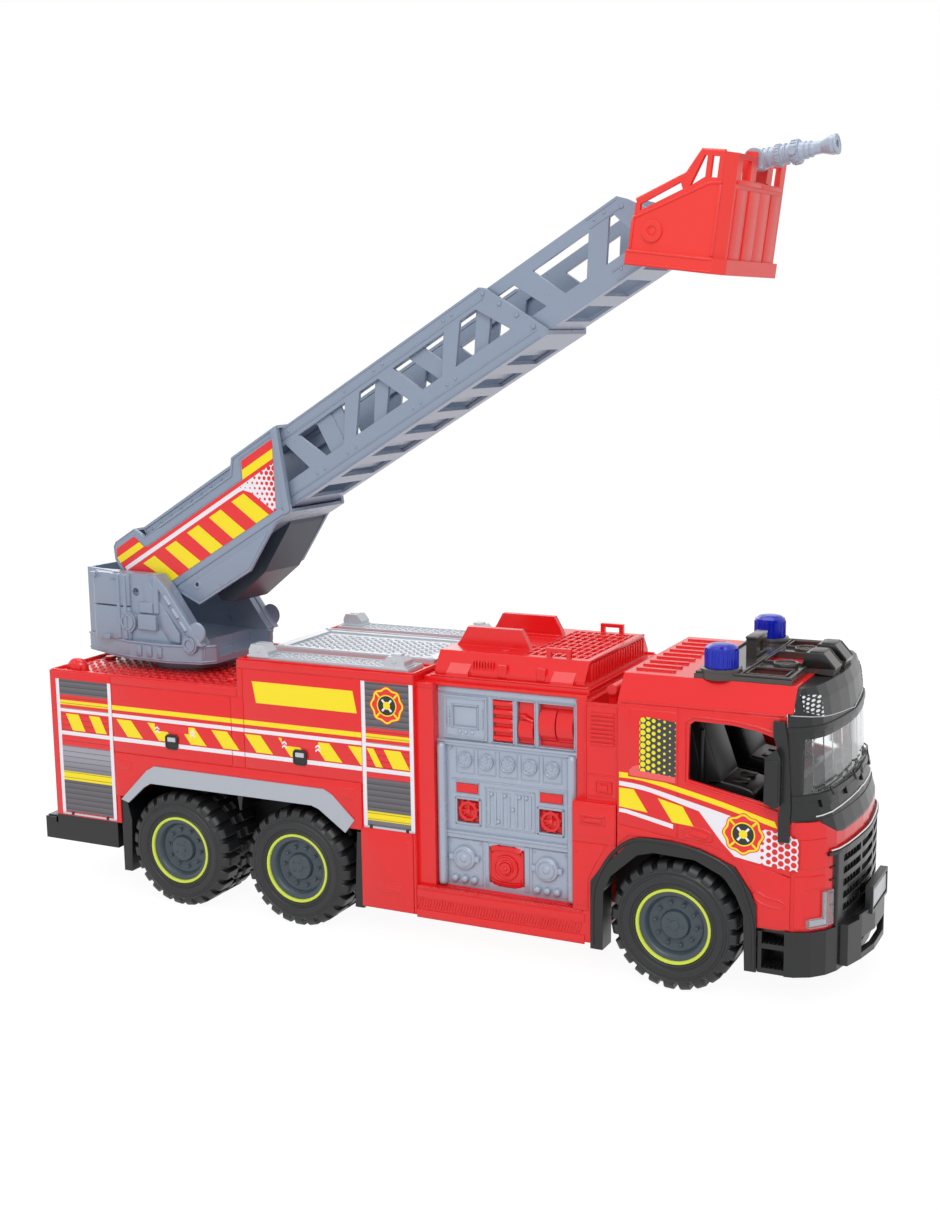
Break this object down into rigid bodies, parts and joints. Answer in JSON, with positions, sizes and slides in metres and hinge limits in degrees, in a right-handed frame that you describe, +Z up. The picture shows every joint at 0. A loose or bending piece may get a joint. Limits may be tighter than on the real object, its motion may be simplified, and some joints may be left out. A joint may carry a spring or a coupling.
{
  "type": "toy fire engine",
  "caption": "Toy fire engine with a hollow cab, pump panels, wheels on axles, a turning ladder that extends, and a rescue basket with a water nozzle.",
  "frame": {"origin": "on the ground, on the truck's centre plane, midway between its front and rear bumpers", "axes": "+X towards the truck's front, +Y towards its left side, +Z up"},
  "size_m": [0.624, 0.171, 0.5284],
  "materials": {
    "red_plastic": "gloss",
    "black_plastic": "satin",
    "silver_plastic": "satin",
    "clear_plastic": "clear",
    "smoke_plastic": "gloss",
    "blue_plastic": "gloss",
    "steel": "bright",
    "basket_red": "satin",
    "tyre_plastic": "satin",
    "hub_plastic": "satin"
  },
  "bodies": {
    "truck": {"chassis": "black_plastic", "rear_body": "red_plastic", "pump_housing": "red_plastic", "pump_cover": "red_plastic", "pump_panels": "silver_plastic", "panel_fittings": "red_plastic", "cab_shell": "red_plastic", "cab_roof": "red_plastic", "windscreen_frame": "black_plastic", "windscreen": "clear_plastic", "grille": "black_plastic", "front_bumper": "black_plastic", "headlamps": "clear_plastic", "mirrors": "black_plastic", "cab_interior": "black_plastic", "roof_rack": "smoke_plastic", "beacons": "blue_plastic", "front_arches": "black_plastic", "rear_arches": "black_plastic", "rear_trims": "silver_plastic", "rear_bumper": "black_plastic", "walkways": "silver_plastic", "roof_panel": "silver_plastic", "axles": "steel"},
    "wheel_front_left": {"tyre_front_left": "tyre_plastic", "hub_front_left": "hub_plastic"},
    "wheel_front_right": {"tyre_front_right": "tyre_plastic", "hub_front_right": "hub_plastic"},
    "wheel_middle_left": {"tyre_middle_left": "tyre_plastic", "hub_middle_left": "hub_plastic"},
    "wheel_middle_right": {"tyre_middle_right": "tyre_plastic", "hub_middle_right": "hub_plastic"},
    "wheel_rear_left": {"tyre_rear_left": "tyre_plastic", "hub_rear_left": "hub_plastic"},
    "wheel_rear_right": {"tyre_rear_right": "tyre_plastic", "hub_rear_right": "hub_plastic"},
    "turret": {"turntable": "silver_plastic", "ladder_pin": "steel"},
    "ladder": {"ladder_housing": "silver_plastic", "ladder_belly": "black_plastic", "ladder_outer": "silver_plastic"},
    "ladder_extension": {"ladder_inner": "silver_plastic"},
    "rescue_basket": {"basket": "basket_red"},
    "water_nozzle": {"nozzle": "silver_plastic"}
  },
  "joints": [
    {"name": "wheel_front_left_turn", "type": "hinge", "parent": "truck", "child": "wheel_front_left", "pos_m": [0.198, 0, 0.043], "axis": [0, 1, 0], "continuous": true},
    {"name": "wheel_front_right_turn", "type": "hinge", "parent": "truck", "child": "wheel_front_right", "pos_m": [0.198, 0, 0.043], "axis": [0, 1, 0], "continuous": true},
    {"name": "wheel_middle_left_turn", "type": "hinge", "parent": "truck", "child": "wheel_middle_left", "pos_m": [-0.0825, 0, 0.043], "axis": [0, 1, 0], "continuous": true},
    {"name": "wheel_middle_right_turn", "type": "hinge", "parent": "truck", "child": "wheel_middle_right", "pos_m": [-0.0825, 0, 0.043], "axis": [0, 1, 0], "continuous": true},
    {"name": "wheel_rear_left_turn", "type": "hinge", "parent": "truck", "child": "wheel_rear_left", "pos_m": [-0.184, 0, 0.043], "axis": [0, 1, 0], "continuous": true},
    {"name": "wheel_rear_right_turn", "type": "hinge", "parent": "truck", "child": "wheel_rear_right", "pos_m": [-0.184, 0, 0.043], "axis": [0, 1, 0], "continuous": true},
    {"name": "turntable_turn", "type": "hinge", "parent": "truck", "child": "turret", "pos_m": [-0.218, 0, 0.1685], "axis": [0, 0, 1], "continuous": true},
    {"name": "ladder_raise", "type": "hinge", "parent": "turret", "child": "ladder", "pos_m": [-0.23495, 0.00133, 0.228], "axis": [-0.0785, -0.9969, 0], "range_deg": [-17, 40]},
    {"name": "ladder_extend", "type": "slide", "parent": "ladder", "child": "ladder_extension", "axis": [0.8634, -0.0679, 0.5], "range_m": [-0.05, 0.11]},
    {"name": "basket_tilt", "type": "hinge", "parent": "ladder_extension", "child": "rescue_basket", "pos_m": [0.18642, -0.03183, 0.47491], "axis": [-0.0785, -0.9969, 0], "range_deg": [-38, 20]},
    {"name": "nozzle_tilt", "type": "hinge", "parent": "rescue_basket", "child": "water_nozzle", "pos_m": [0.23312, -0.0355, 0.51666], "axis": [-0.0785, -0.9969, 0], "range_deg": [-12, 35]}
  ]
}
